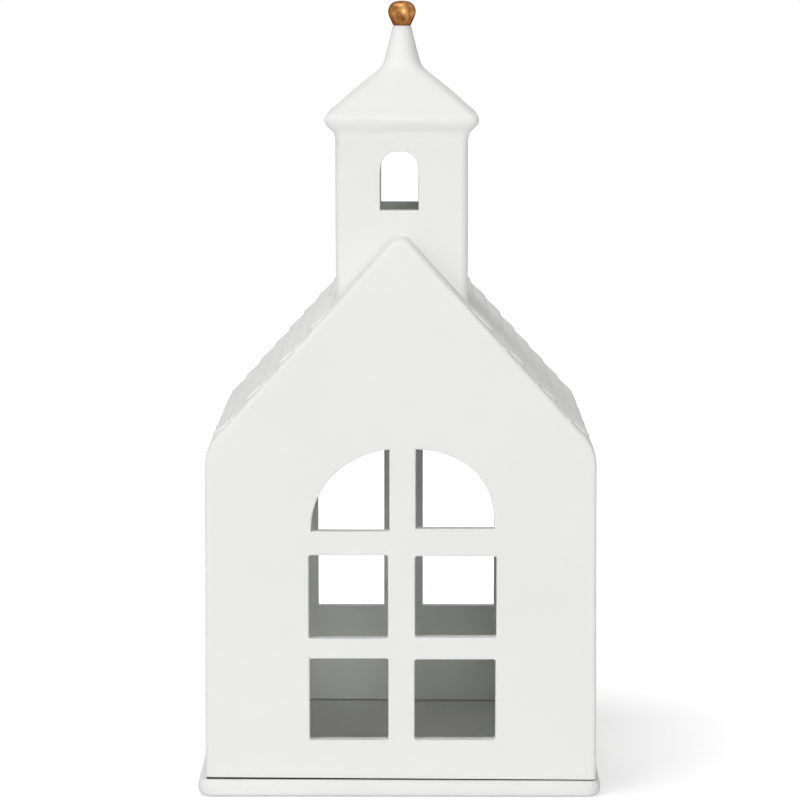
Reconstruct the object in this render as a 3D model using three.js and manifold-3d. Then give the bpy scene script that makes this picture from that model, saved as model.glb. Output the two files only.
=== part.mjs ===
// Porcelain LED chapel lantern on a base plate
// Millimetres, +Z up, the front faces -Y, the origin is the middle of the plate's underside.

import * as THREE from 'three';
import { mergeVertices } from 'three/addons/utils/BufferGeometryUtils.js';
import Module from 'manifold-3d';

const wasm = await Module();
wasm.setup();

// Base plate
const plateWidth = 127.4;
const plateDepth = 118.5;
const plateThickness = 5.3;
const plateCornerRadius = 3;
const plateEdgeRadius = 1.2;

// Walls and roof
const houseWidth = 122.8;
const houseDepth = 114.5;
const wallThickness = 3.8;
const wallHeight = 106;
const wallDraft = 0.38;
const roofPitch = 47.9;
const eaveRadius = 14;
const ridgeRadius = 4.5;
const gableEdgeRadius = 1.8;
const seamGap = 0.4;

// Corner lugs on the plate, which keep the walls in place
const lugLength = 9;
const lugWidth = 3;
const lugHeight = 3;
const lugClearance = 0.8;

// Front window: two columns of panes in three rows under an arched head
const sillHeight = 13.3;
const paneWidth = 25.5;
const paneHeight = 25.6;
const mullionWidth = 8;
const lowerBarHeight = 7.1;
const upperBarHeight = 8.9;
const archRise = 25;
const archExponent = 2.3;

// Rear window: two tall lights beside a wide mullion
const rearSillHeight = 33.9;
const rearLightWidth = 24.2;
const rearMullionWidth = 13.2;

// Roof shingles
const coursePitch = 7.5;
const courseOverlap = 3;
const firstCourse = 3.5;
const shingleWidth = 8;
const tailLength = 2.2;
const tailSteps = 4;
const shingleRelief = 0.85;
const shingleThickness = 1.8;
const gableBorder = 5;

// Bell tower
const towerWidth = 41;
const towerSetback = 10;
const towerRise = 29.1;
const towerWall = 3.4;
const towerEdgeRadius = 2.4;
const towerMargin = 0.9;
const belfryWidth = 11.8;
const belfrySillRise = 5.8;
const belfryJambHeight = 9.5;
const belfryArchRise = 8.8;
const belfryArchExponent = 3;
const belfryOffset = -0.8;
const lightWellInset = 2.5;

// Spire cap
const capFootFlare = 0.4;
const corniceHeight = 4.9;
const capOverhang = 3.5;
const capEaveHeight = 1.4;
const capEdgeRadius = 2;
const spirePitch = 40;
const spireBend = 3.2;
const needleFootRadius = 6.2;
const needleTopRadius = 3.1;
const needleHeight = 12.1;
const needleRoundness = 0.97;
const capWall = 3.2;
const capCornerSteps = 4;
const corniceBelly = 1.7;
const corniceBellyRise = 1.4;
const eaveRoll = 0.6;
const eaveBulge = 0.35;

// Finial ball
const ballRadius = 4.4;
const ballFootRadius = 2.8;
const ballWaistHeight = 4.3;
const ballHeight = 7.7;
const ballTaper = 0.6;
const ballCrown = 0.62;
const pegRadius = 1.2;
const pegLength = 5;

// Lamp case, which stands off the inside of the front wall
const lampStandOff = 3;
const caseRadius = 19;
const caseTop = 8;
const caseWall = 1.2;
const caseLift = 0.5;
const flangeRadius = 22;
const flangeThickness = 1.2;
const collarRadius = 4.6;
const collarHeight = 1.4;
const collarTaper = 0.3;
const caseFloorThickness = 1.2;

// Case screws
const screwRadius = 0.8;
const screwHeadRadius = 1.3;
const screwHeadHeight = 0.4;
const screwLength = 4;
const bossWall = 0.9;
const bossReach = 15.9;
const bossAngles = [109, -109, -38];

// Coin cell and its twist cover
const cellRadius = 10;
const cellHeight = 3.2;
const cellOffset = -5.2;
const cellEdge = 0.4;
const cellCapInset = 1.2;
const cellSealDrop = 0.6;
const coverRimWall = 1;
const coverRimHeight = 1.6;
const bayonetReach = 1.5;
const bayonetThickness = 0.6;
const bayonetHalfAngle = 10;
const bayonetTurn = 30;
const coinSlotLength = 12;
const coinSlotWidth = 1.6;
const coinSlotDepth = 0.5;

// Circuit board and what it carries
const boardThickness = 0.8;
const contactThickness = 0.25;
const contactWidth = 5;
const contactBladeLength = 1.8;
const contactFootLength = 1.6;
const springLength = 8;
const springWidth = 2.4;
const springCornerRadius = 0.6;
const resistorLength = 3.2;
const resistorWidth = 1.6;
const resistorHeight = 0.5;
const resistorPlace = [8.6, 10.4];

// Slide switch
const switchOffset = 12.3;
const switchWidth = 4.4;
const switchLength = 7.6;
const switchLip = 0.4;
const knobWidth = 1.6;
const knobLength = 2;
const knobFootWidth = 2.8;
const knobFootLength = 3.2;
const knobFootHeight = 1;
const knobRecess = 0.2;
const knobTravel = 2;

// Lamp
const ledRadius = 2.5;
const ledFlangeRadius = 2.9;
const ledFlangeHeight = 1;
const ledBodyHeight = 6.1;
const leadSize = 0.5;
const leadPitch = 2.54;

// Gap between pieces that seat on each other, and the finer one inside the lamp case
const fitGap = 0.3;
const fineGap = 0.1;

// Worked out from the sizes above
const pitch = THREE.MathUtils.degToRad(roofPitch);
const draftPerHeight = Math.tan(THREE.MathUtils.degToRad(wallDraft));
const frontY = -houseDepth / 2;
const rearY = houseDepth / 2;
const footZ = plateThickness + seamGap;
const eaveZ = footZ + wallHeight;
const halfEave = houseWidth / 2 - wallHeight * draftPerHeight;
const ridgeZ = eaveZ + halfEave * Math.tan(pitch);
const towerHalf = towerWidth / 2;
const towerY = frontY + towerSetback + towerHalf;
const towerTopZ = ridgeZ + towerRise;
const lampCentreY = frontY + wallThickness + lampStandOff + caseRadius;
const caseBore = caseRadius - caseWall;
const caseFloorTop = caseLift + caseFloorThickness;
const cellZ = caseFloorTop + fitGap;
const coverRadius = cellRadius + fitGap + coverRimWall;
const boardTop = caseTop - caseWall - fitGap;
const boardZ = boardTop - boardThickness;
const contactZ = (cellZ + cellHeight + boardZ - contactThickness) / 2;

// Materials
function finish(colour, roughness, metalness = 0) {
  return new THREE.MeshStandardMaterial({ color: colour, roughness, metalness });
}
const porcelain = finish(0xf1f1ee, 0.55);
const gilding = finish(0xb5803f, 0.38, 0.85);
const mouldedPlastic = finish(0xe8e7e1, 0.45);
const boardLaminate = finish(0x2f6b45, 0.5);
const plated = finish(0xc9c7c0, 0.3, 0.9);
const darkPlastic = finish(0x2a2a2c, 0.5);
const clearResin = finish(0xfff2d0, 0.12);

const chapel = new THREE.Group();
const lampUnit = new THREE.Group();
lampUnit.position.y = lampCentreY;
chapel.add(lampUnit);

// Adds one named piece to a group
function piece(group, name, shape, material) {
  const geometry = shape.isBufferGeometry ? shape : geometryOf(shape);
  const mesh = new THREE.Mesh(geometry, material);
  mesh.name = name;
  group.add(mesh);
}

// A closed mesh as a solid for joins and cuts
function solid(geometry) {
  const bare = geometry.clone();
  bare.deleteAttribute('normal');
  bare.deleteAttribute('uv');
  const welded = mergeVertices(bare, 1e-4);
  const index = welded.index.array;
  const faces = [];
  for (let i = 0; i < index.length; i += 3) {
    const [a, b, c] = [index[i], index[i + 1], index[i + 2]];
    if (a !== b && b !== c && c !== a) faces.push(a, b, c);
  }
  const vertProperties = new Float32Array(welded.attributes.position.array);
  const triVerts = new Uint32Array(faces);
  return new wasm.Manifold(new wasm.Mesh({ numProp: 3, vertProperties, triVerts }));
}

// The triangles of a solid
function geometryOf(body) {
  const { vertProperties, triVerts } = body.getMesh();
  const geometry = new THREE.BufferGeometry();
  geometry.setAttribute('position', new THREE.BufferAttribute(new Float32Array(vertProperties), 3));
  geometry.setIndex(new THREE.BufferAttribute(new Uint32Array(triVerts), 1));
  geometry.computeVertexNormals();
  return geometry;
}

function join(bodies) {
  return bodies.reduce((whole, body) => whole.add(body));
}

function cut(body, tools) {
  return tools.reduce((rest, tool) => rest.subtract(tool), body);
}

// A box between two corners
function block([x0, x1], [y0, y1], [z0, z1]) {
  const box = new THREE.BoxGeometry(x1 - x0, y1 - y0, z1 - z0);
  return solid(box.translate((x0 + x1) / 2, (y0 + y1) / 2, (z0 + z1) / 2));
}

// The span of a given length about a middle
function about(middle, length) {
  return [middle - length / 2, middle + length / 2];
}

// A body turned about a vertical axis, from [radius, z] points that start on the axis, underside first
function turned(profile, segments, x = 0, y = 0) {
  const points = profile.map(([radius, z]) => new THREE.Vector2(radius, z));
  return new THREE.LatheGeometry(points, segments).rotateX(Math.PI / 2).translate(x, y, 0);
}

function disc(radius, [z0, z1], segments, x = 0, y = 0) {
  return solid(turned([[0, z0], [radius, z0], [radius, z1], [0, z1]], segments, x, y));
}

// A polygon of [x, y, corner radius] with its corners rounded
function roundedShape(corners, stepAngle = 14) {
  const points = [];
  corners.forEach(([x, y, radius], i) => {
    const corner = new THREE.Vector2(x, y);
    if (radius === 0) {
      points.push(corner);
      return;
    }
    const [bx, by] = corners[(i + corners.length - 1) % corners.length];
    const [ax, ay] = corners[(i + 1) % corners.length];
    const before = new THREE.Vector2(bx - x, by - y).normalize();
    const after = new THREE.Vector2(ax - x, ay - y).normalize();
    const half = Math.acos(before.dot(after)) / 2;
    const bisector = before.clone().add(after).normalize();
    const centre = corner.clone().addScaledVector(bisector, radius / Math.sin(half));
    const spoke = corner.clone().addScaledVector(before, radius / Math.tan(half)).sub(centre);
    const sweep = Math.sign(after.cross(before)) * (Math.PI - 2 * half);
    const steps = Math.max(2, Math.ceil(THREE.MathUtils.radToDeg(Math.abs(sweep)) / stepAngle));
    for (let k = 0; k <= steps; k += 1) {
      const turnedSpoke = spoke.clone().rotateAround(new THREE.Vector2(), (sweep * k) / steps);
      points.push(turnedSpoke.add(centre));
    }
  });
  return new THREE.Shape(points);
}

function rectangleShape(halfX, halfY, radius) {
  const signs = [[-1, -1], [1, -1], [1, 1], [-1, 1]];
  return roundedShape(signs.map(([sx, sy]) => [sx * halfX, sy * halfY, radius]), 30);
}

// A piece of a ring about the origin, in degrees
function sectorShape(innerRadius, outerRadius, middleAngle, halfAngle, steps = 3) {
  const points = [];
  for (const [radius, way] of [[innerRadius, -1], [outerRadius, 1]]) {
    for (let k = 0; k <= steps; k += 1) {
      const angle = THREE.MathUtils.degToRad(middleAngle + way * halfAngle * ((2 * k) / steps - 1));
      points.push(new THREE.Vector2(radius * Math.cos(angle), radius * Math.sin(angle)));
    }
  }
  return new THREE.Shape(points);
}

function extruded(shape, depth, edgeRadius, bevelSegments) {
  return new THREE.ExtrudeGeometry(shape, {
    depth: depth - 2 * edgeRadius,
    bevelEnabled: edgeRadius > 0,
    bevelSize: edgeRadius,
    bevelThickness: edgeRadius,
    bevelOffset: -edgeRadius,
    bevelSegments,
  }).translate(0, 0, edgeRadius);
}

// An upright outline in X and Z, extruded along Y
function extrudeAlongY(shape, [y0, y1], edgeRadius = 0) {
  return solid(extruded(shape, y1 - y0, edgeRadius, 3).rotateX(Math.PI / 2).translate(0, y1, 0));
}

// A flat outline in X and Y, extruded along Z
function extrudeAlongZ(shape, [z0, z1], edgeRadius = 0, x = 0, y = 0) {
  return solid(extruded(shape, z1 - z0, edgeRadius, 2).translate(x, y, z0));
}

// House section: drafted walls, rounded eaves and ridge, set in from the outside or lifted off the roof
function houseShape(inset, bottomZ, lift = 0) {
  const halfAt = (z) => houseWidth / 2 - (z - footZ) * draftPerHeight - inset;
  const apexZ = ridgeZ + (lift - inset) / Math.cos(pitch);
  const cornerZ = apexZ - halfAt(eaveZ) * Math.tan(pitch);
  return roundedShape([
    [-halfAt(bottomZ), bottomZ, 0],
    [halfAt(bottomZ), bottomZ, 0],
    [halfAt(cornerZ), cornerZ, eaveRadius - inset],
    [0, apexZ, Math.max(ridgeRadius - inset, 1)],
    [-halfAt(cornerZ), cornerZ, eaveRadius - inset],
  ]);
}

// Opening with upright sides under a flattened arch, a superellipse
function archShape(halfWidth, sillZ, springZ, rise, exponent, steps = 16) {
  const points = [new THREE.Vector2(-halfWidth, sillZ), new THREE.Vector2(halfWidth, sillZ)];
  for (let k = 0; k <= steps; k += 1) {
    const [across, up] = [Math.cos((Math.PI * k) / steps), Math.sin((Math.PI * k) / steps)];
    const x = halfWidth * Math.sign(across) * Math.abs(across) ** (2 / exponent);
    points.push(new THREE.Vector2(x, springZ + rise * Math.max(up, 0) ** (2 / exponent)));
  }
  return new THREE.Shape(points);
}

// The six panes of the front window, as one cutter per pane
function frontPanes() {
  const halfWidth = paneWidth + mullionWidth / 2;
  const through = [frontY - 1, frontY + wallThickness + 1];
  const sillZ = footZ + sillHeight;
  const lowerBarZ = sillZ + paneHeight;
  const middleZ = lowerBarZ + lowerBarHeight;
  const upperBarZ = middleZ + paneHeight;
  const springZ = upperBarZ + upperBarHeight;
  const rows = [
    extrudeAlongY(archShape(halfWidth, springZ, springZ, archRise, archExponent), through),
    block([-halfWidth, halfWidth], through, [middleZ, upperBarZ]),
    block([-halfWidth, halfWidth], through, [sillZ, lowerBarZ]),
  ];
  const mullion = block(about(0, mullionWidth), about(frontY, houseDepth), [footZ, ridgeZ]);
  return join(rows).subtract(mullion);
}

// The two rear lights share the arch of the front window
function rearLights() {
  const halfWidth = rearLightWidth + rearMullionWidth / 2;
  const springZ = footZ + sillHeight + 2 * paneHeight + lowerBarHeight + upperBarHeight;
  const through = [rearY - wallThickness - 1, rearY + 1];
  const shape = archShape(halfWidth, footZ + rearSillHeight, springZ, archRise, archExponent);
  const mullion = block(about(0, rearMullionWidth), about(rearY, houseDepth), [footZ, ridgeZ]);
  return extrudeAlongY(shape, through).subtract(mullion);
}

// One course of round-tailed shingles, lying in X along the roof and Y up the slope, thinner towards the top
function shingleCourse(reach, phase) {
  const length = houseDepth - 2 * gableBorder;
  const count = Math.round(length / shingleWidth);
  const step = length / (count * tailSteps);
  const points = [];
  for (let k = 0; k <= count * tailSteps; k += 1) {
    const across = (k / tailSteps + phase) % 1;
    const tail = Math.sqrt(1 - (2 * across - 1) ** 2);
    points.push(new THREE.Vector2(k * step - length / 2, tailLength * (1 - tail)));
  }
  points.push(new THREE.Vector2(length / 2, reach), new THREE.Vector2(-length / 2, reach));
  const strip = new THREE.ExtrudeGeometry(new THREE.Shape(points), {
    depth: shingleThickness,
    bevelEnabled: false,
  });
  return strip.translate(0, 0, -shingleThickness).rotateX(-Math.asin(shingleRelief / reach));
}

// All courses on one slope; side is 1 for the right slope and -1 for the left
function slopeShingles(side) {
  const up = new THREE.Vector3(-side * Math.cos(pitch), 0, Math.sin(pitch));
  const out = new THREE.Vector3(side * Math.sin(pitch), 0, Math.cos(pitch));
  const slope = new THREE.Matrix4().makeBasis(up.clone().cross(out), up, out);
  slope.setPosition(side * halfEave, 0, eaveZ);
  const slopeEnd = halfEave / Math.cos(pitch) - ridgeRadius * Math.tan(pitch);
  const courses = [];
  for (let low = firstCourse; low < slopeEnd - coursePitch / 2; low += coursePitch) {
    const reach = Math.min(coursePitch + courseOverlap, slopeEnd - low);
    const course = shingleCourse(reach, (courses.length % 2) / 2);
    courses.push(solid(course.translate(0, low, shingleRelief).applyMatrix4(slope)));
  }
  return join(courses);
}

// Walls and shingled roof in one hollow casting, open at the foot
function naveShell() {
  const outside = extrudeAlongY(houseShape(0, footZ - wallThickness), [frontY, rearY], gableEdgeRadius);
  const inside = extrudeAlongY(
    houseShape(wallThickness, footZ - 2 * wallThickness),
    [frontY + wallThickness, rearY - wallThickness],
  );
  const belowFoot = block(about(0, 2 * houseWidth), about(0, 2 * houseDepth), [footZ - eaveRadius, footZ]);
  const bareSeat = block(
    about(0, towerWidth + 2 * towerMargin),
    about(towerY, towerWidth + 2 * towerMargin),
    [eaveZ, ridgeZ + eaveRadius],
  );
  const well = towerWidth - 2 * (towerWall + lightWellInset);
  const lightWell = block(about(0, well), about(towerY, well), [ridgeZ - towerWidth, ridgeZ + 1]);
  const shingles = slopeShingles(1).add(slopeShingles(-1)).subtract(bareSeat);
  return cut(outside.add(shingles), [inside, belowFoot, lightWell, frontPanes(), rearLights()]);
}

// Square tower, hollow from end to end, whose foot follows the roof
function bellTower() {
  const wallTop = [eaveZ, towerTopZ];
  const sillZ = ridgeZ + belfrySillRise;
  const window = archShape(
    belfryWidth / 2,
    sillZ,
    sillZ + belfryJambHeight,
    belfryArchRise,
    belfryArchExponent,
    12,
  );
  const bore = towerHalf - towerWall;
  const walls = extrudeAlongZ(rectangleShape(towerHalf, towerHalf, towerEdgeRadius), wallTop, 0, 0, towerY);
  const hollow = extrudeAlongZ(rectangleShape(bore, bore, 1), [eaveZ - 1, towerTopZ + 1], 0, 0, towerY);
  const roof = extrudeAlongY(houseShape(0, footZ, fitGap), [frontY, rearY]);
  const belfry = extrudeAlongY(window, about(towerY, towerWidth + 2)).translate([belfryOffset, 0, 0]);
  return cut(walls, [hollow, roof, belfry]);
}

// A level ring of the cap: a square of half width w with rounded corners, nearly a circle on the needle
function capRing([halfWidth, z], eaveHalf) {
  const squareness = THREE.MathUtils.clamp(
    (halfWidth - needleFootRadius) / (eaveHalf - needleFootRadius),
    0,
    1,
  );
  const roundest = halfWidth * needleRoundness;
  const radius = Math.min(roundest, THREE.MathUtils.lerp(roundest, capEdgeRadius, Math.sqrt(squareness)));
  const ring = [];
  for (let corner = 0; corner < 4; corner += 1) {
    for (let k = 0; k <= capCornerSteps; k += 1) {
      const angle = (Math.PI / 2) * (corner + k / capCornerSteps);
      const middle = (Math.PI / 2) * (corner + 0.5);
      const [sx, sy] = [Math.sign(Math.cos(middle)), Math.sign(Math.sin(middle))];
      ring.push([
        sx * (halfWidth - radius) + radius * Math.cos(angle),
        towerY + sy * (halfWidth - radius) + radius * Math.sin(angle),
        z,
      ]);
    }
  }
  return ring;
}

// Closed skin over a run of rings of equal count, ended by a point on the axis at each end
function loft(rings) {
  const count = rings[0].length;
  const positions = rings.flat(2);
  const faces = [];
  for (let r = 0; r < rings.length - 1; r += 1) {
    for (let i = 0; i < count; i += 1) {
      const [a, b] = [r * count + i, r * count + ((i + 1) % count)];
      faces.push(a, b, b + count, a, b + count, a + count);
    }
  }
  const ends = [[0, rings[0]], [(rings.length - 1) * count, rings[rings.length - 1]]];
  ends.forEach(([start, ring], end) => {
    const pole = positions.length / 3;
    positions.push(0, towerY, ring[0][2]);
    for (let i = 0; i < count; i += 1) {
      const [a, b] = [start + i, start + ((i + 1) % count)];
      faces.push(...(end === 0 ? [pole, b, a] : [a, b, pole]));
    }
  });
  const geometry = new THREE.BufferGeometry();
  geometry.setAttribute('position', new THREE.Float32BufferAttribute(positions, 3));
  geometry.setIndex(faces);
  return geometry;
}

// Cornice and concave spire, hollow from below, with a hole for the ball's peg
const capZ = towerTopZ + fitGap;
const spireSlope = Math.tan(THREE.MathUtils.degToRad(spirePitch));
const capEaveZ = capZ + corniceHeight + capEaveHeight;
const needleFootZ = capEaveZ + (towerHalf + capOverhang - needleFootRadius) * spireSlope;
const needleTopZ = needleFootZ + needleHeight;

function spireCap() {
  const eaveHalf = towerHalf + capOverhang;
  const footHalf = towerHalf + capFootFlare;
  const bore = towerHalf - towerWall;
  const ceilingDrop = capWall / Math.cos(THREE.MathUtils.degToRad(spirePitch));
  const slopeZ = (halfWidth) => capEaveZ + (eaveHalf - halfWidth) * spireSlope;
  const bendStart = needleFootRadius + spireBend;
  const needleTaper = (needleFootRadius - needleTopRadius) / needleHeight;
  const outline = new THREE.Path();
  outline.moveTo(capWall, slopeZ(capWall) - ceilingDrop);
  outline.lineTo(bore, slopeZ(bore) - ceilingDrop);
  outline.lineTo(bore, capZ);
  outline.lineTo(footHalf, capZ);
  outline.quadraticCurveTo(
    footHalf + corniceBelly,
    capZ + corniceBellyRise,
    eaveHalf,
    capZ + corniceHeight - eaveRoll,
  );
  outline.quadraticCurveTo(
    eaveHalf + eaveBulge,
    capEaveZ - eaveRoll,
    eaveHalf - capEaveHeight,
    slopeZ(eaveHalf - capEaveHeight),
  );
  outline.lineTo(bendStart, slopeZ(bendStart));
  outline.quadraticCurveTo(
    needleFootRadius,
    needleFootZ,
    needleFootRadius - spireBend * needleTaper,
    needleFootZ + spireBend,
  );
  outline.lineTo(needleTopRadius, needleTopZ);
  const rings = outline.getPoints(4).map((point) => capRing(point.toArray(), eaveHalf));
  const pegHole = disc(pegRadius + fitGap, [needleTopZ - pegLength - fitGap, needleTopZ + 1], 16, 0, towerY);
  return solid(loft(rings)).subtract(pegHole);
}

// Bulb-shaped ball on a peg
function finialBall() {
  const seatZ = needleTopZ + fineGap;
  const outline = new THREE.Path();
  outline.moveTo(0, seatZ - pegLength);
  outline.lineTo(pegRadius, seatZ - pegLength);
  outline.lineTo(pegRadius, seatZ);
  outline.lineTo(ballFootRadius, seatZ);
  outline.quadraticCurveTo(
    ballRadius,
    seatZ + ballWaistHeight * ballTaper,
    ballRadius,
    seatZ + ballWaistHeight,
  );
  outline.bezierCurveTo(
    ballRadius,
    seatZ + ballWaistHeight + (ballHeight - ballWaistHeight) * ballCrown,
    ballRadius * ballCrown,
    seatZ + ballHeight,
    0,
    seatZ + ballHeight,
  );
  return turned(outline.getPoints(5).map((point) => point.toArray()), 24, 0, towerY);
}

// Plate with the lamp case's stepped hole and four corner lugs
function basePlate() {
  const shape = rectangleShape(plateWidth / 2, plateDepth / 2, plateCornerRadius);
  const slab = extrudeAlongZ(shape, [0, plateThickness], plateEdgeRadius);
  const lugX = houseWidth / 2 - wallThickness - lugClearance;
  const lugY = houseDepth / 2 - wallThickness - lugClearance;
  const lugZ = [plateThickness - 1, plateThickness + lugHeight];
  const lugs = [[1, 1], [-1, 1], [-1, -1], [1, -1]].flatMap(([sx, sy]) => [
    block(about(sx * (lugX - lugLength / 2), lugLength), about(sy * (lugY - lugWidth / 2), lugWidth), lugZ),
    block(about(sx * (lugX - lugWidth / 2), lugWidth), about(sy * (lugY - lugLength / 2), lugLength), lugZ),
  ]);
  const rebateTop = caseLift + flangeThickness + fitGap;
  return cut(join([slab, ...lugs]), [
    disc(caseRadius + fitGap, [-1, plateThickness + 1], 48, 0, lampCentreY),
    disc(flangeRadius + fitGap, [-1, rebateTop], 48, 0, lampCentreY),
  ]);
}

// Where each case screw stands, from the middle of the lamp unit
const screwPlaces = bossAngles.map((angle) => {
  const spoke = THREE.MathUtils.degToRad(angle);
  return [bossReach * Math.cos(spoke), bossReach * Math.sin(spoke)];
});
const leadPlaces = [leadPitch / 2, -leadPitch / 2];

// Moulded cup with its flange, lamp collar and screw bosses
function lampCase() {
  const ceilingZ = caseTop - caseWall;
  const cup = solid(turned([
    [0, ceilingZ],
    [caseBore, ceilingZ],
    [caseBore, caseLift],
    [flangeRadius, caseLift],
    [flangeRadius, caseLift + flangeThickness],
    [caseRadius, caseLift + flangeThickness],
    [caseRadius, caseTop - caseWall / 2],
    [caseRadius - caseWall / 2, caseTop],
    [collarRadius, caseTop],
    [collarRadius - collarTaper, caseTop + collarHeight],
    [ledFlangeRadius + fitGap, caseTop + collarHeight],
    [ledFlangeRadius + fitGap, caseTop],
    [0, caseTop],
  ], 48));
  const pilotRadius = screwRadius + fineGap;
  const bosses = screwPlaces.map(([x, y]) => (
    disc(pilotRadius + bossWall, [caseFloorTop + fitGap, ceilingZ + caseWall / 2], 16, x, y)
  ));
  const pilots = screwPlaces.map(([x, y]) => (
    disc(pilotRadius, [caseLift, caseLift + screwLength + 2 * fitGap], 12, x, y)
  ));
  const leadHoles = leadPlaces.map((y) => disc(leadSize + fineGap, [ceilingZ - 1, caseTop + 1], 12, 0, y));
  return cut(join([cup, ...bosses]), [...pilots, ...leadHoles]);
}

// Disc that closes the cup, with the battery door, the bayonet notches and the switch slot
function lampCaseFloor() {
  const span = [caseLift, caseFloorTop];
  const through = [caseLift - 1, caseFloorTop + 1];
  const notches = [90, 270].map((angle) => extrudeAlongZ(
    sectorShape(coverRadius - 1, coverRadius + bayonetReach + fitGap, angle - bayonetTurn, bayonetHalfAngle + 2),
    through,
    0,
    cellOffset,
  ));
  const screwHoles = screwPlaces.flatMap(([x, y]) => [
    disc(screwRadius + fineGap, through, 12, x, y),
    disc(screwHeadRadius + fineGap, [caseLift - 1, caseLift + screwHeadHeight + 2 * fineGap], 16, x, y),
  ]);
  const slot = block(
    about(switchOffset, knobWidth + 2 * fitGap),
    about(0, knobLength + knobTravel + 2 * fitGap),
    through,
  );
  const door = disc(coverRadius + fitGap, through, 48, cellOffset);
  return cut(disc(caseBore - fitGap, span, 48), [door, slot, ...notches, ...screwHoles]);
}

// Twist cover: a cup for the cell with two bayonet lugs and a coin slot
function batteryCover() {
  const cup = solid(turned([
    [0, caseLift],
    [coverRadius, caseLift],
    [coverRadius, caseFloorTop + coverRimHeight],
    [coverRadius - coverRimWall, caseFloorTop + coverRimHeight],
    [coverRadius - coverRimWall, caseFloorTop],
    [0, caseFloorTop],
  ], 48, cellOffset));
  const lugZ = [caseFloorTop + fitGap, caseFloorTop + fitGap + bayonetThickness];
  const lugs = [90, 270].map((angle) => extrudeAlongZ(
    sectorShape(coverRadius - coverRimWall / 2, coverRadius + bayonetReach, angle, bayonetHalfAngle),
    lugZ,
    0,
    cellOffset,
  ));
  const coinSlot = block(
    about(cellOffset, coinSlotLength),
    about(0, coinSlotWidth),
    [caseLift - 1, caseLift + coinSlotDepth],
  );
  return join([cup, ...lugs]).subtract(coinSlot);
}

// Round cell with a stepped negative face on top
function coinCell() {
  const top = cellZ + cellHeight;
  return turned([
    [0, cellZ],
    [cellRadius - cellEdge, cellZ],
    [cellRadius, cellZ + cellEdge],
    [cellRadius, top - cellSealDrop],
    [cellRadius - cellSealDrop / 2, top - cellEdge],
    [cellRadius - cellCapInset, top - cellEdge],
    [cellRadius - cellCapInset, top],
    [0, top],
  ], 48, cellOffset);
}

function circuitBoard() {
  const through = [boardZ - 1, boardTop + 1];
  const bossRadius = screwRadius + fineGap + bossWall;
  return cut(disc(caseBore - fitGap, [boardZ, boardTop], 48), [
    ...screwPlaces.map(([x, y]) => disc(bossRadius + fitGap, through, 16, x, y)),
    ...leadPlaces.map((y) => disc(leadSize, through, 12, 0, y)),
  ]);
}

// Bent strip: a foot under the board and a blade down the side of the cell
function positiveContact() {
  const bladeX = cellOffset - cellRadius - fineGap;
  const top = contactZ + contactThickness;
  return join([
    block([bladeX - contactThickness, bladeX], about(0, contactWidth), [top - contactBladeLength, top]),
    block([bladeX - contactFootLength, bladeX], about(0, contactWidth), [contactZ, top]),
  ]);
}

// Crossed spring strips over the cell
function negativeContact() {
  const span = [contactZ, contactZ + contactThickness];
  const strip = rectangleShape(springLength / 2, springWidth / 2, springCornerRadius);
  const across = rectangleShape(springWidth / 2, springLength / 2, springCornerRadius);
  return extrudeAlongZ(strip, span, 0, cellOffset).add(extrudeAlongZ(across, span, 0, cellOffset));
}

function resistor() {
  const [x, y] = resistorPlace;
  const top = boardZ - fineGap;
  return block(about(x, resistorLength), about(y, resistorWidth), [top - resistorHeight, top]);
}

// Slide switch: a box with a lipped slot below for the slider's foot
function switchCase() {
  const bottom = caseFloorTop + fitGap;
  const stemSlot = block(
    about(switchOffset, knobWidth + 2 * fitGap),
    about(0, knobLength + knobTravel + 2 * fitGap),
    [bottom - 1, bottom + switchLip + 1],
  );
  const footSlot = block(
    about(switchOffset, knobFootWidth + 2 * fitGap),
    about(0, knobFootLength + knobTravel + 2 * fitGap),
    [bottom + switchLip, bottom + switchLip + knobFootHeight + 2 * fitGap],
  );
  const body = block(about(switchOffset, switchWidth), about(0, switchLength), [bottom, boardZ - fineGap]);
  return cut(body, [stemSlot, footSlot]);
}

// Slider at one end of its travel
function switchKnob() {
  const y = -knobTravel / 2;
  const knobFootZ = caseFloorTop + switchLip + 2 * fitGap;
  return join([
    block(about(switchOffset, knobWidth), about(y, knobLength), [caseLift + knobRecess, knobFootZ + fineGap]),
    block(about(switchOffset, knobFootWidth), about(y, knobFootLength), [knobFootZ, knobFootZ + knobFootHeight]),
  ]);
}

function ledLamp() {
  const seatZ = caseTop + fineGap;
  const outline = new THREE.Path();
  outline.moveTo(0, seatZ);
  outline.lineTo(ledFlangeRadius, seatZ);
  outline.lineTo(ledFlangeRadius, seatZ + ledFlangeHeight);
  outline.lineTo(ledRadius, seatZ + ledFlangeHeight);
  outline.lineTo(ledRadius, seatZ + ledBodyHeight);
  outline.absarc(0, seatZ + ledBodyHeight, ledRadius, 0, Math.PI / 2);
  return turned(outline.getPoints(6).map((point) => [Math.max(point.x, 0), point.y]), 20);
}

function ledLead(y) {
  return block(about(0, leadSize), about(y, leadSize), [boardZ, caseTop]);
}

// Pan-head screw from below into a boss
function caseScrew([x, y]) {
  const headZ = caseLift + fineGap;
  return turned([
    [0, headZ],
    [screwHeadRadius, headZ],
    [screwHeadRadius, headZ + screwHeadHeight],
    [screwRadius, headZ + screwHeadHeight],
    [screwRadius, headZ + screwLength - screwRadius],
    [0, headZ + screwLength],
  ], 12, x, y);
}

piece(chapel, 'base_plate', basePlate(), porcelain);
piece(chapel, 'nave_shell', naveShell(), porcelain);
piece(chapel, 'bell_tower', bellTower(), porcelain);
piece(chapel, 'spire_cap', spireCap(), porcelain);
piece(chapel, 'finial_ball', finialBall(), gilding);

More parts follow.
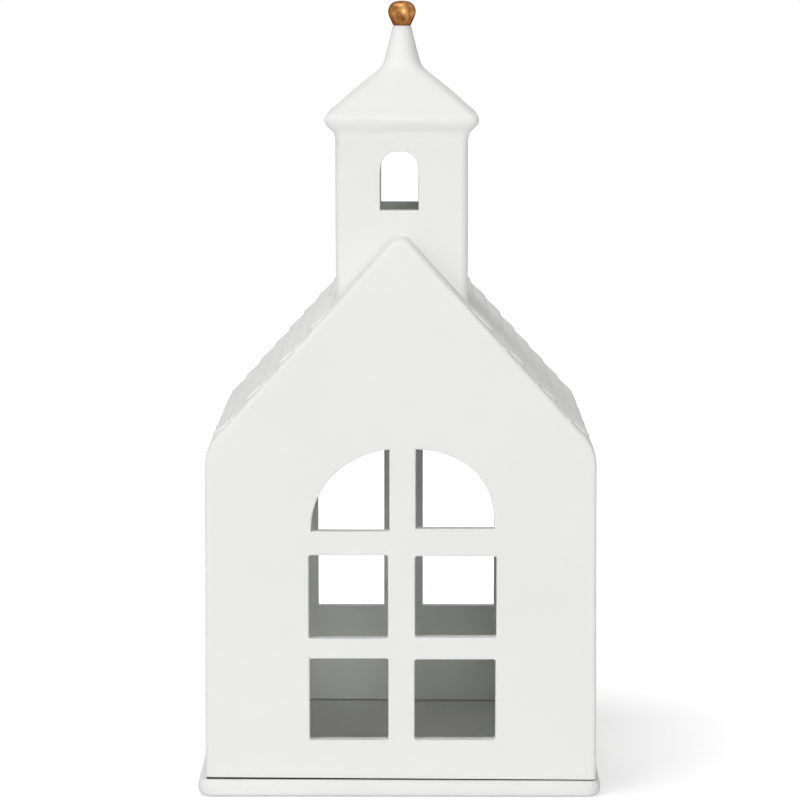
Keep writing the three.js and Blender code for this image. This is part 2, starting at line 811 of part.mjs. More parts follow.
piece(lampUnit, 'lamp_case', lampCase(), mouldedPlastic);
piece(lampUnit, 'lamp_case_floor', lampCaseFloor(), mouldedPlastic);
piece(lampUnit, 'battery_cover', batteryCover(), mouldedPlastic);
piece(lampUnit, 'coin_cell', coinCell(), plated);
piece(lampUnit, 'circuit_board', circuitBoard(), boardLaminate);
piece(lampUnit, 'positive_contact', positiveContact(), plated);
piece(lampUnit, 'negative_contact', negativeContact(), plated);
piece(lampUnit, 'resistor', resistor(), darkPlastic);
piece(lampUnit, 'switch_case', switchCase(), darkPlastic);
piece(lampUnit, 'switch_knob', switchKnob(), mouldedPlastic);
piece(lampUnit, 'led_lamp', ledLamp(), clearResin);
piece(lampUnit, 'led_lead_plus', ledLead(leadPlaces[0]), plated);
piece(lampUnit, 'led_lead_minus', ledLead(leadPlaces[1]), plated);
screwPlaces.forEach((place, i) => piece(lampUnit, `case_screw_${i + 1}`, caseScrew(place), plated));

export default chapel;
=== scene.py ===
"""White porcelain chapel lantern on a plate with a battery lamp.

A hollow house with an arched window and a shingled roof, a bell tower with a spire,
and a gilded ball.
"""

import math
import random

import bmesh
import bpy
from mathutils import Matrix, Vector


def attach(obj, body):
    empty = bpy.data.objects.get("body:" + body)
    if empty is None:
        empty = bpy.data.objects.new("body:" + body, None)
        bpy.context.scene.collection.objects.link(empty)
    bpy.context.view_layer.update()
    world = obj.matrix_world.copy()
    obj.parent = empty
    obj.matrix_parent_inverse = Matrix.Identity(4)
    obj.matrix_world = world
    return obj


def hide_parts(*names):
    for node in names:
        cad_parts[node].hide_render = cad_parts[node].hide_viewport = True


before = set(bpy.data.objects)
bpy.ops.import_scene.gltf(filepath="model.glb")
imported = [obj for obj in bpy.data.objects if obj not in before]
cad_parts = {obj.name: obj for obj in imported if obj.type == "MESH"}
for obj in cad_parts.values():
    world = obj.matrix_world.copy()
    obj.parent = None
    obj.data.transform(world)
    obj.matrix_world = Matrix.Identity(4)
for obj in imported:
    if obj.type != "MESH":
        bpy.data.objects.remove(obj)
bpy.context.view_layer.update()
bpy.ops.object.select_all(action="DESELECT")

# Lengths below are millimetres; the scene is in metres
MM = 0.001

# Walls and roof
FOOT_Z = 5.58
EAVE_Z = 111.14
RIDGE_Z = 178.87
HALF_FOOT = 61.75
HALF_EAVE = 61.2
HALF_DEPTH = 57.25
WALL = 3.8
PITCH = math.radians(47.9)
EAVE_RADIUS = 11.6
RIDGE_RADIUS = 4.5
GABLE_RADIUS = 1.3

# Beyond BORDER_Y the roof falls away a little to the gables; the shingles end at BORDER_END
BORDER_Y = 53.4
BORDER_END = 56.6
BORDER_FALL = 0.6

# Tower and cap, a hair to the right of the ridge
TOWER_X = 0.25
TOWER_Y = -26.75
TOWER_HALF = 20.75
TOWER_TOP_Z = 207.97
TOWER_WALL = 3.4
TOWER_CORNER = 2.4
TOWER_BORE_CORNER = 1.0

# The light well through the roof, with the ledge that the roof keeps inside the tower's walls
WELL_Z = (138, 180)
WELL_LEDGE = 2.8

# Base plate, a little off centre
PLATE_X = (-64.2, 63.2)
PLATE_Y = (-59.75, 59.25)
PLATE_Z = 5.18
PLATE_HALF = 63.7
PLATE_CORNER = 4.8

# The walls' foot and the plate's top warped in the kiln: their fall per millimetre to the right
FOOT_FALL = 0.006
PLATE_FALL = 0.004

# The seat of the walls on the plate, to its outer edge, where the plate is painted near-black as
# shade in the seam
SEAT_X = 61.4
SEAT_Y = 56.9
SEAT_WIDTH = 1.6

# The lamp's stepped hole in the plate: a through hole and a wider rebate from below
LAMP_Y = -31.45
HOLE_RADIUS = 19.3
REBATE_RADIUS = 22.3
REBATE_DEPTH = 2

# The four angled lugs that keep the chapel on its plate
LUG_X = 56.8
LUG_Y = 52.65
LUG_LENGTH = 9
LUG_WIDTH = 3
LUG_FOOT_Z = 4
LUG_TOP_Z = 8.3

# Cutters reach this far to either side of the middle
CUTTER_REACH = 80

# Faces that meet at more than this many radians have a sharp edge between them
SHARP = 1.2


# Modelling helpers

def only(piece):
    """Makes the piece the one that is selected and active."""
    if bpy.context.mode != "OBJECT":
        bpy.ops.object.mode_set(mode="OBJECT")
    bpy.ops.object.select_all(action="DESELECT")
    piece.select_set(True)
    bpy.context.view_layer.objects.active = piece


def edit(piece, kind="FACE"):
    """Opens the piece in edit mode with nothing selected."""
    only(piece)
    bpy.ops.object.mode_set(mode="EDIT")
    bpy.ops.mesh.select_mode(type=kind)
    bpy.ops.mesh.select_all(action="DESELECT")


def done():
    """Leaves edit mode."""
    bpy.ops.object.mode_set(mode="OBJECT")


def choose(piece, kind, test):
    """Selects those verts, edges or faces of the piece in edit mode that pass the test."""
    mesh = bmesh.from_edit_mesh(piece.data)
    for item in getattr(mesh, kind):
        item.select_set(bool(test(item)))
    mesh.select_flush_mode()
    bmesh.update_edit_mesh(piece.data)


def middle(item):
    """The middle of an edge or face, in millimetres."""
    return sum((v.co for v in item.verts), Vector()) / len(item.verts) / MM


def near(value, target, tolerance=0.05):
    return abs(value - target) < tolerance


def both(edge, test):
    """True if both ends of an edge, in millimetres, pass the test."""
    return all(test(v.co / MM) for v in edge.verts)


def is_sharp(edge, angle=SHARP):
    return edge.calc_face_angle(0) > angle


def opening_edges(y, half_depth, half_width, low, high):
    """A test for the sharp edges of openings in the front and rear faces of a block."""
    def test(edge):
        p = middle(edge)
        in_face = both(edge, lambda end: near(abs(end.y - y), half_depth, 0.01))
        return in_face and is_sharp(edge) and abs(p.x) < half_width and low < p.z < high

    return test


def named(name):
    """Names the new primitive and puts its place into its mesh."""
    piece = bpy.context.active_object
    piece.name = name
    piece.data.name = name
    bpy.ops.object.transform_apply(location=True, rotation=True, scale=True)
    return piece


def cube(name, x, y, z):
    """A box between two corners, given as spans."""
    size = [(b - a) * MM for a, b in (x, y, z)]
    place = [(b + a) / 2 * MM for a, b in (x, y, z)]
    bpy.ops.mesh.primitive_cube_add(size=1, location=place, scale=size)
    return named(name)


def disc(name, radius, z, sides):
    """A flat disc across the tower's axis."""
    bpy.ops.mesh.primitive_circle_add(vertices=sides, radius=radius * MM, fill_type="NGON",
                                      location=(TOWER_X * MM, TOWER_Y * MM, z * MM))
    return named(name)


def bevel(piece, test, width, segments, profile=0.5):
    """Rounds the edges that pass the test, to a width in millimetres."""
    edit(piece, "EDGE")
    choose(piece, "edges", test)
    bpy.ops.mesh.bevel(offset=width * MM, offset_type="OFFSET", segments=segments, profile=profile,
                       affect="EDGES", clamp_overlap=False)
    done()


def carve(piece, tools, operation="DIFFERENCE"):
    """Cuts each tool out of the piece, or joins it, and deletes the tool."""
    for tool in tools:
        only(piece)
        cutter = piece.modifiers.new("carve", "BOOLEAN")
        cutter.operation = operation
        cutter.solver = "EXACT"
        cutter.object = tool
        bpy.ops.object.modifier_apply(modifier=cutter.name)
        bpy.data.objects.remove(tool)
    only(piece)


def refine(piece):
    """Divides every face once more, rounding the form."""
    only(piece)
    finer = piece.modifiers.new("finer", "SUBSURF")
    finer.levels = finer.render_levels = 1
    bpy.ops.object.modifier_apply(modifier=finer.name)


def tidy_mesh(piece, distance=0.01):
    """Merges doubles and turns every face outwards."""
    edit(piece, "VERT")
    bpy.ops.mesh.select_all(action="SELECT")
    bpy.ops.mesh.remove_doubles(threshold=distance * MM)
    bpy.ops.mesh.normals_make_consistent(inside=False)
    done()


def smooth(piece, angle=40, weighted=True):
    """Smooth shading up to an angle, with flat faces kept flat where weighted."""
    only(piece)
    bpy.ops.object.shade_smooth_by_angle(angle=math.radians(angle))
    if weighted:
        keep = piece.modifiers.new("flat faces", "WEIGHTED_NORMAL")
        keep.keep_sharp = True
        bpy.ops.object.modifier_apply(modifier=keep.name)


def raise_rings(profile):
    """Extrudes the selected face up the tower's axis through (half width, z) pairs."""
    half, z = profile[0]
    for wider, higher in profile[1:]:
        step = {"value": (0, 0, (higher - z) * MM)}
        bpy.ops.mesh.extrude_region_move(TRANSFORM_OT_translate=step)
        wider = max(wider, 0.001)
        bpy.ops.transform.resize(value=(wider / half, wider / half, 1),
                                 center_override=(TOWER_X * MM, TOWER_Y * MM, higher * MM))
        half, z = wider, higher


# Finishes

def shader(name):
    """A new material, its nodes, links and main shader, and the piece's own coordinates."""
    material = bpy.data.materials.new(name)
    material.use_nodes = True
    nodes = material.node_tree.nodes
    where = nodes.new("ShaderNodeTexCoord").outputs["Object"]
    return material, nodes, material.node_tree.links, nodes["Principled BSDF"], where


def noise(nodes, links, where, scale, detail, roughness=0.5, stretch=None):
    """A noise pattern, in waves per metre."""
    pattern = nodes.new("ShaderNodeTexNoise")
    pattern.inputs["Scale"].default_value = scale
    pattern.inputs["Detail"].default_value = detail
    pattern.inputs["Roughness"].default_value = roughness
    source = where
    if stretch:
        mapping = nodes.new("ShaderNodeMapping")
        mapping.inputs["Scale"].default_value = stretch
        links.new(where, mapping.inputs["Vector"])
        source = mapping.outputs["Vector"]
    links.new(source, pattern.inputs["Vector"])
    return pattern.outputs["Fac"]


def ramp(nodes, links, source, stops):
    """Colours along a pattern, as (place, colour) stops."""
    band = nodes.new("ShaderNodeValToRGB")
    while len(band.color_ramp.elements) < len(stops):
        band.color_ramp.elements.new(0.5)
    for element, (place, colour) in zip(band.color_ramp.elements, stops):
        element.position = place
        element.color = (*colour, 1)
    links.new(source, band.inputs["Fac"])
    return band.outputs["Color"]


def between(nodes, links, source, low, high, span=(0, 1)):
    """A value spread between two others while the source goes through its span."""
    spread = nodes.new("ShaderNodeMapRange")
    spread.inputs["From Min"].default_value, spread.inputs["From Max"].default_value = span
    spread.inputs["To Min"].default_value = low
    spread.inputs["To Max"].default_value = high
    links.new(source, spread.inputs["Value"])
    return spread.outputs["Result"]


def combine(nodes, links, operation, first, second):
    """Two values made into one by a math operation."""
    node = nodes.new("ShaderNodeMath")
    node.operation = operation
    links.new(first, node.inputs[0])
    links.new(second, node.inputs[1])
    return node.outputs["Value"]


def bump(nodes, links, layers):
    """Height patterns laid over each other, as (pattern, strength, depth in mm)."""
    normal = None
    for pattern, strength, depth in layers:
        node = nodes.new("ShaderNodeBump")
        node.inputs["Strength"].default_value = strength
        node.inputs["Distance"].default_value = depth * MM
        links.new(pattern, node.inputs["Height"])
        if normal:
            links.new(normal, node.inputs["Normal"])
        normal = node.outputs["Normal"]
    return normal


def shaded(colour, share):
    """A colour with a share of its brightness."""
    return tuple(c * share for c in colour)


def porcelain(name, tint=(0.905, 0.905, 0.89)):
    """Matt unglazed porcelain: faint clouding, a fine biscuit grain and soft casting waves."""
    material, nodes, links, surface, where = shader(name)
    clouds = noise(nodes, links, where, 26, 4)
    colour = ramp(nodes, links, clouds, [(0.3, shaded(tint, 0.968)), (0.72, tint)])
    links.new(colour, surface.inputs["Base Color"])
    waves = noise(nodes, links, where, 55, 2)
    grain = noise(nodes, links, where, 2600, 2)
    relief = bump(nodes, links, [(waves, 0.35, 0.5), (grain, 0.22, 0.05)])
    links.new(relief, surface.inputs["Normal"])
    links.new(between(nodes, links, clouds, 0.62, 0.76), surface.inputs["Roughness"])
    surface.inputs["Specular IOR Level"].default_value = 0.18
    return material


def gilding():
    """Gold-bronze paint brushed round the ball, with painted shade making it darker and browner
    where it meets the needle.
    """
    material, nodes, links, surface, where = shader("gilding")
    streaks = noise(nodes, links, where, 420, 5, 0.6, (1, 1, 0.6))
    patches = noise(nodes, links, where, 170, 2)
    brown, bronze, gold = (0.13, 0.05, 0.012), (0.37, 0.17, 0.052), (0.62, 0.35, 0.14)
    paint = ramp(nodes, links, streaks, [(0.3, brown), (0.5, bronze), (0.7, gold)])
    height = nodes.new("ShaderNodeSeparateXYZ")
    links.new(where, height.inputs["Vector"])
    # Painted shade: the colour darkens and browns towards the foot of the ball
    rise = between(nodes, links, height.outputs["Z"], 0, 1, (241.5 * MM, 245.5 * MM))
    painted_needle_shade = ramp(nodes, links, rise, [(0.0, (0.5, 0.36, 0.25)), (1.0, (1, 1, 1))])
    mix = nodes.new("ShaderNodeMix")
    mix.data_type = "RGBA"
    mix.blend_type = "MULTIPLY"
    mix.inputs["Factor"].default_value = 1.0
    links.new(paint, mix.inputs["A"])
    links.new(painted_needle_shade, mix.inputs["B"])
    links.new(mix.outputs["Result"], surface.inputs["Base Color"])
    links.new(between(nodes, links, patches, 0.25, 0.5), surface.inputs["Roughness"])
    links.new(bump(nodes, links, [(streaks, 0.3, 0.12)]), surface.inputs["Normal"])
    surface.inputs["Metallic"].default_value = 0.75
    surface.inputs["Specular IOR Level"].default_value = 0.1
    surface.inputs["Specular Tint"].default_value = (0.06, 0.03, 0.015, 1)
    return material


def moulded(name, colour, roughness=0.42):
    """Satin injection-moulded plastic with a spark-eroded grain."""
    material, nodes, links, surface, where = shader(name)
    grain = noise(nodes, links, where, 3400, 2)
    flow = noise(nodes, links, where, 60, 3)
    tone = ramp(nodes, links, flow, [(0.3, shaded(colour, 0.94)), (0.7, colour)])
    links.new(tone, surface.inputs["Base Color"])
    satin = between(nodes, links, flow, roughness - 0.05, roughness + 0.08)
    links.new(satin, surface.inputs["Roughness"])
    links.new(bump(nodes, links, [(grain, 0.3, 0.03)]), surface.inputs["Normal"])
    return material


def plated(name, colour, roughness, stretch=(1, 1, 1)):
    """Nickel plating with fine rolling lines and handling marks."""
    material, nodes, links, surface, where = shader(name)
    lines = noise(nodes, links, where, 900, 3, 0.6, stretch)
    marks = noise(nodes, links, where, 180, 4)
    tone = ramp(nodes, links, marks, [(0.35, shaded(colour, 0.82)), (0.62, colour)])
    links.new(tone, surface.inputs["Base Color"])
    wear = between(nodes, links, marks, roughness, roughness + 0.16)
    links.new(wear, surface.inputs["Roughness"])
    links.new(bump(nodes, links, [(lines, 0.25, 0.01)]), surface.inputs["Normal"])
    surface.inputs["Metallic"].default_value = 1.0
    return material


def laminate():
    """Green lacquer over woven glass."""
    material, nodes, links, surface, where = shader("board_laminate")
    weave = nodes.new("ShaderNodeTexBrick")
    weave.inputs["Scale"].default_value = 900
    weave.inputs["Color1"].default_value = (0.03, 0.17, 0.07, 1)
    weave.inputs["Color2"].default_value = (0.04, 0.21, 0.09, 1)
    weave.inputs["Mortar"].default_value = (0.025, 0.13, 0.055, 1)
    links.new(where, weave.inputs["Vector"])
    links.new(weave.outputs["Color"], surface.inputs["Base Color"])
    links.new(bump(nodes, links, [(weave.outputs["Fac"], 0.15, 0.02)]), surface.inputs["Normal"])
    surface.inputs["Roughness"].default_value = 0.3
    return material


def resin():
    """Clear epoxy of the lamp, faintly warm, with a few casting swirls."""
    material, nodes, links, surface, where = shader("clear_resin")
    swirls = noise(nodes, links, where, 240, 2)
    tone = ramp(nodes, links, swirls, [(0.3, (0.98, 0.93, 0.78)), (0.7, (1, 0.97, 0.88))])
    links.new(tone, surface.inputs["Base Color"])
    links.new(between(nodes, links, swirls, 0.04, 0.12), surface.inputs["Roughness"])
    surface.inputs["Transmission Weight"].default_value = 0.85
    surface.inputs["IOR"].default_value = 1.52
    return material


def coat(piece, material):
    """Gives a piece its material."""
    piece.data.materials.clear()
    piece.data.materials.append(material)


def finish_part(piece, material, test):
    """Gives the faces that pass the test another finish."""
    piece.data.materials.append(material)
    index = len(piece.data.materials) - 1
    edit(piece)
    choose(piece, "faces", test)
    piece.active_material_index = index
    bpy.ops.object.material_slot_assign()
    done()


# Walls and roof in one casting

def house(name, inset, foot_z, end_radius):
    """The gabled block, set in from the outside, with rounded eaves and ridge.

    With an end radius the roof also falls away at its borders, and the gable edges are rounded.
    """
    foot, eave = HALF_FOOT - inset, HALF_EAVE - inset
    ridge_z = RIDGE_Z - inset / math.cos(PITCH)
    eave_z = ridge_z - eave * math.tan(PITCH)
    depth = HALF_DEPTH - inset
    piece = cube(name, (-foot, foot), (-depth, depth), (foot_z, eave_z))

    # A ridge is raised between the eaves, and the eaves are drawn in to their own width
    edit(piece, "EDGE")
    choose(piece, "edges", lambda e: near(middle(e).z, eave_z) and near(middle(e).x, 0))
    bpy.ops.mesh.subdivide(number_cuts=1)
    done()
    edit(piece, "VERT")
    choose(piece, "verts", lambda v: near(v.co.z / MM, eave_z) and near(v.co.x, 0))
    bpy.ops.transform.translate(value=(0, 0, (ridge_z - eave_z) * MM))
    choose(piece, "verts", lambda v: near(v.co.z / MM, eave_z))
    bpy.ops.transform.resize(value=(eave / foot, 1, 1), center_override=(0, 0, 0))
    done()

    eave_round = (EAVE_RADIUS - inset) / math.tan((math.pi / 2 + PITCH) / 2)
    ridge_round = max(RIDGE_RADIUS - inset, 1) / math.tan(math.pi / 2 - PITCH)
    bevel(piece, lambda e: both(e, lambda p: near(p.z, eave_z)) and near(middle(e).y, 0),
          eave_round, 9)
    bevel(piece, lambda e: both(e, lambda p: near(p.z, ridge_z)), ridge_round, 6)
    if not end_radius:
        return piece

    def at_end(p):
        return near(abs(p.y), depth)

    edit(piece, "VERT")
    for end in (-1, 1):
        bpy.ops.mesh.select_all(action="SELECT")
        bpy.ops.mesh.bisect(plane_co=(0, end * BORDER_Y * MM, 0), plane_no=(0, 1, 0))
    choose(piece, "verts", lambda v: at_end(v.co / MM) and v.co.z / MM > (foot_z + eave_z) / 2)
    bpy.ops.transform.translate(value=(0, 0, -BORDER_FALL / math.cos(PITCH) * MM))
    done()
    bevel(piece, lambda e: both(e, at_end) and not both(e, lambda p: near(p.z, foot_z)) and
          near(abs(middle(e).y), depth), end_radius, 4)
    return piece


def arch(name, left, right, sill_z, spring_z, top_z, y, fullness):
    """A cutter with upright sides under an arch; a fullness of 0.5 makes it an ellipse."""
    half = (right - left) / 2
    centre = (right + left) / 2
    rise = top_z - spring_z
    piece = cube(name, (-rise, rise), y, (sill_z, top_z))
    bevel(piece, lambda e: both(e, lambda p: near(p.z, top_z)) and near(middle(e).y, sum(y) / 2),
          rise - 0.01, 20, fullness)
    edit(piece, "VERT")
    bpy.ops.mesh.select_all(action="SELECT")
    bpy.ops.transform.resize(value=(half / rise, 1, 1), center_override=(0, 0, 0))
    bpy.ops.transform.translate(value=(centre * MM, 0, 0))
    done()
    tidy_mesh(piece)
    return piece


def half_of(piece, x, keep):
    """Keeps one side of a cutter cut upright at x: keep is -1 for the left and 1 for the right."""
    edit(piece, "VERT")
    bpy.ops.mesh.select_all(action="SELECT")
    bpy.ops.mesh.bisect(plane_co=(x * MM, 0, 0), plane_no=(1, 0, 0), use_fill=True,
                        clear_inner=keep > 0, clear_outer=keep < 0)
    done()
    tidy_mesh(piece)
    return piece


def pane(name, x, z, y):
    """A square-cut pane with hand-softened corners."""
    piece = cube(name, x, y, z)
    bevel(piece, lambda e: near(middle(e).y, sum(y) / 2), 0.7, 3)
    return piece


# Front panes as measured one by one: left and right, sill and head
FRONT_PANES = [
    ("pane_low_left", (-28.7, -3.95), (18.1, 44.25)),
    ("pane_low_right", (4.35, 29.8), (18.15, 43.95)),
    ("pane_mid_left", (-28.9, -4.05), (50.65, 77.2)),
    ("pane_mid_right", (4.5, 30.0), (51.05, 76.9)),
]

# Arched panes: the whole arch's left, right, sill, spring and top, its fullness, and then the
# edge of the middle bar and the side of it that the pane is on
FRONT_ARCHES = [
    ("arch_left", (-28.1, 29.2, 84.9, 85.4, 110.9), 0.51, -3.6, -1),
    ("arch_right", (-28.2, 29.25, 85.7, 86.3, 110.9), 0.56, 4.7, 1),
]
REAR_ARCHES = [
    ("rear_left", (-29.1, 32.1, 39.1, 86.2, 111.2), 0.53, -6.2, -1),
    ("rear_right", (-29.1, 32.1, 39.1, 86.2, 111.2), 0.53, 7.3, 1),
]


def foot_cutter():
    """All that lies below the slanting foot of the walls."""
    reach = CUTTER_REACH
    below = cube("below_foot", (-reach, reach), (-reach, reach), (-20, FOOT_Z))
    edit(below, "VERT")
    for side in (-1, 1):
        choose(below, "verts",
               lambda v: near(v.co.z / MM, FOOT_Z) and near(v.co.x / MM, side * reach))
        bpy.ops.transform.translate(value=(0, 0, -side * reach * FOOT_FALL * MM))
    done()
    return below


def nave():
    """The hollow house with its window openings, edges softened as a wet sponge leaves them."""
    # Both blocks start below the foot, which the foot cutter trims to its slant
    walls = house("nave_walls", 0, FOOT_Z - 0.6, GABLE_RADIUS)
    hollow = house("nave_hollow", WALL, FOOT_Z - 4, 0)
    front = (-HALF_DEPTH - 2, -HALF_DEPTH + WALL + 2)
    rear = (HALF_DEPTH - WALL - 2, HALF_DEPTH + 2)
    half = TOWER_HALF - TOWER_WALL - WELL_LEDGE
    well = cube("well", (-half, half), (TOWER_Y - half, TOWER_Y + half), WELL_Z)
    tools = [hollow, foot_cutter(), well]
    tools += [pane(name, x, z, front) for name, x, z in FRONT_PANES]
    for arches, span in ((FRONT_ARCHES, front), (REAR_ARCHES, rear)):
        for name, outline, fullness, bar, side in arches:
            tools.append(half_of(arch(name, *outline, span, fullness), bar, side))
    carve(walls, tools)
    on_window = opening_edges(0, HALF_DEPTH, half_width=34, low=15, high=115)
    bevel(walls, on_window, 0.55, 3)

    def at_foot(p):
        return near(p.z, FOOT_Z - FOOT_FALL * p.x, 0.02)

    bevel(walls, lambda e: both(e, at_foot) and is_sharp(e), 0.4, 2)
    smooth(walls)
    return walls


# Roof shingles: one tile is shaped, then laid course by course on both slopes

COURSE_PITCH = 7.5
FIRST_COURSE = 3.5
COURSES = 11
TILE_PITCH = 7.843
TILE_GAP = 0.12
TILE_REACH = 10.5
TILE_THICKNESS = 1.5
TILE_ROUND = 0.85
TILE_RELIEF = 0.9
TILES_FROM = -54.9
TILES_IN_COURSE = range(-1, 15)

# A tail is this share as long as it is half wide
TAIL_SHARE = 0.6

# Past the border a tile bends down in steps, at these distances from it
TILE_FALL = 1.35
FALL_STEPS = (1.0, 2.1, 3.15)

# How far hand laying leaves a tile from true: turn, size, up the slope and off it
TURN = (-0.02, 0.02)
SIZE = (0.975, 1.005)
SLIP = (-0.12, 0.12)
LIFT = (-0.1, 0.06)


def shingle(name, length):
    """A round-tailed tile with soft edges, from its tail at the origin up the slope along Y."""
    half = (TILE_PITCH - TILE_GAP) / 2
    tail = TAIL_SHARE * half
    bpy.ops.mesh.primitive_circle_add(vertices=16, radius=half * MM, fill_type="NGON")
    tile = named(name)
    edit(tile, "VERT")
    bpy.ops.mesh.select_all(action="SELECT")
    bpy.ops.transform.resize(value=(1, TAIL_SHARE, 1), center_override=(0, 0, 0))
    bpy.ops.transform.translate(value=(0, tail * MM, 0))
    bpy.ops.mesh.bisect(plane_co=(0, tail * MM, 0), plane_no=(0, 1, 0), clear_outer=True)
    at_cut = tail - 0.01
    bpy.ops.mesh.select_mode(type="EDGE")
    choose(tile, "edges", lambda e: both(e, lambda p: p.y > at_cut))
    up_slope = {"value": (0, (length - at_cut) * MM, 0)}
    bpy.ops.mesh.extrude_edges_move(TRANSFORM_OT_translate=up_slope)
    bpy.ops.mesh.select_all(action="SELECT")
    bpy.ops.mesh.normals_make_consistent(inside=False)
    outwards = {"value": (0, 0, TILE_THICKNESS * MM)}
    bpy.ops.mesh.extrude_region_move(TRANSFORM_OT_translate=outwards)
    done()
    bevel(tile, lambda e: both(e, lambda p: p.z > TILE_THICKNESS - 0.1) and is_sharp(e, 1),
          TILE_ROUND, 3)
    tidy_mesh(tile, 0.005)
    lean = Matrix.Rotation(-math.asin(TILE_RELIEF / length), 4, "X")
    tile.data.transform(Matrix.Translation((0, 0, (TILE_RELIEF - TILE_THICKNESS) * MM)) @ lean)
    return tile


def slope(side):
    """The frame of a roof slope at the eave's corner: X along the eave, Y up, Z outwards."""
    up = Vector((-side * math.cos(PITCH), 0, math.sin(PITCH)))
    out = Vector((side * math.sin(PITCH), 0, math.cos(PITCH)))
    along = up.cross(out)
    place = Matrix((along, up, out)).transposed().to_4x4()
    place.translation = Vector((side * HALF_EAVE, 0, EAVE_Z)) * MM
    return place


def trim(tile, on_slope):
    """Bends a tile down towards the gable's edge and cuts it off there."""
    inwards = -on_slope.col[2].to_3d()
    for end in (-1, 1):
        if max(end * v.co.y for v in tile.data.vertices) < (BORDER_Y + 0.05) * MM:
            continue
        edit(tile, "VERT")
        bpy.ops.mesh.select_all(action="SELECT")
        bpy.ops.mesh.bisect(plane_co=(0, end * BORDER_Y * MM, 0), plane_no=(0, end, 0))
        bpy.ops.mesh.select_all(action="SELECT")
        bpy.ops.mesh.bisect(plane_co=(0, end * BORDER_END * MM, 0), plane_no=(0, end, 0),
                            use_fill=True, clear_outer=True)
        for reach in FALL_STEPS:
            choose(tile, "verts", lambda v: end * v.co.y / MM > BORDER_Y + reach)
            bpy.ops.transform.translate(value=inwards * TILE_FALL / len(FALL_STEPS) * MM)
        done()


def shingled_slope(name, side, seed):
    """The tiles of a slope, each a hair off true, trimmed at the gables; none under the tower."""
    hand = random.Random(seed)
    slope_end = HALF_EAVE / math.cos(PITCH) - RIDGE_RADIUS * math.tan(PITCH)
    last = FIRST_COURSE + (COURSES - 1) * COURSE_PITCH
    whole = shingle("tile", TILE_REACH)
    short = shingle("tile_short", slope_end - last)
    on_slope = slope(side)
    tiles = []
    for course in range(COURSES):
        low = FIRST_COURSE + course * COURSE_PITCH
        shift = 0.5 * (course % 2)
        for count in TILES_IN_COURSE:
            along = (count + 0.5 - shift) * TILE_PITCH + TILES_FROM
            centre = on_slope @ (Vector((along, low + 4, 0)) * MM) / MM
            under_tower = abs(centre.x) < TOWER_HALF + 0.8 and centre.y < TOWER_Y + TOWER_HALF
            if under_tower or abs(along) > BORDER_END + TILE_PITCH / 2 - 0.5:
                continue
            master = short if course == COURSES - 1 else whole
            tile = master.copy()
            tile.data = master.data.copy()
            bpy.context.scene.collection.objects.link(tile)
            turn = Matrix.Rotation(hand.uniform(*TURN), 4, "Z")
            size = Matrix.Scale(hand.uniform(*SIZE), 4)
            spot = Vector((along, low + hand.uniform(*SLIP), hand.uniform(*LIFT)))
            tile.data.transform(on_slope @ Matrix.Translation(spot * MM) @ turn @ size)
            trim(tile, on_slope)
            tiles.append(tile)
    bpy.data.objects.remove(whole)
    bpy.data.objects.remove(short)
    only(tiles[0])
    for tile in tiles:
        tile.select_set(True)
    bpy.ops.object.join()
    roof = tiles[0]
    roof.name = name
    roof.data.name = name
    smooth(roof, 50, weighted=False)
    return roof


# Tower, spire and ball

def upright(name, half, z):
    """A square block round the tower's axis."""
    return cube(name, (TOWER_X - half, TOWER_X + half), (TOWER_Y - half, TOWER_Y + half), z)


# The tower's windows: left, right, sill, spring and top
BELFRY_ARCH = (-6.5, 5.5, 184.7, 194.2, 202.95)


def bell_tower():
    """The square tower, let half a millimetre into the roof, with its windows cut by hand."""
    tower = upright("tower_walls", TOWER_HALF, (EAVE_Z, TOWER_TOP_Z))
    hollow = upright("tower_hollow", TOWER_HALF - TOWER_WALL, (EAVE_Z - 1, TOWER_TOP_Z + 1))
    for block, radius in ((tower, TOWER_CORNER), (hollow, TOWER_BORE_CORNER)):
        bevel(block, lambda e: abs(middle(e).x) > 15 and abs(middle(e).y - TOWER_Y) > 15, radius, 6)
    window = arch("belfry", *BELFRY_ARCH, (TOWER_Y - 25, TOWER_Y + 25), 0.617)
    carve(tower, [hollow, house("tower_roof", 0.5, 20, 0), window])
    on_window = opening_edges(TOWER_Y, TOWER_HALF, half_width=9, low=183, high=205)
    bevel(tower, on_window, 0.45, 3)
    smooth(tower)
    return tower


# Cornice and needle as (half width, z), and the spire's half widths at even steps between them
CORNICE = [
    (TOWER_HALF - 0.3, 206.0), (TOWER_HALF + 0.04, 206.1), (TOWER_HALF + 0.09, 207.0),
    (21.0, 207.9), (21.4, 208.8), (22.2, 209.7), (23.2, 210.6), (23.95, 211.5), (24.2, 212.6),
    (24.05, 213.6), (23.4, 214.4), (22.4, 215.2), (21.3, 216.0),
]
SPIRE_RINGS = [19.75, 18.2, 16.5, 14.7, 12.9, 11.1, 9.3, 7.3, 6.1]
NEEDLE = [
    (5.7, 231.0), (5.15, 233.0), (4.45, 235.5), (3.8, 238.2), (3.12, 241.0), (2.95, 241.5),
    (2.75, 241.78),
]
CAP_CORNER = 2.6
CAP_HOLLOW_Z = (200, 215)
CAP_HOLLOW_RISE = 10


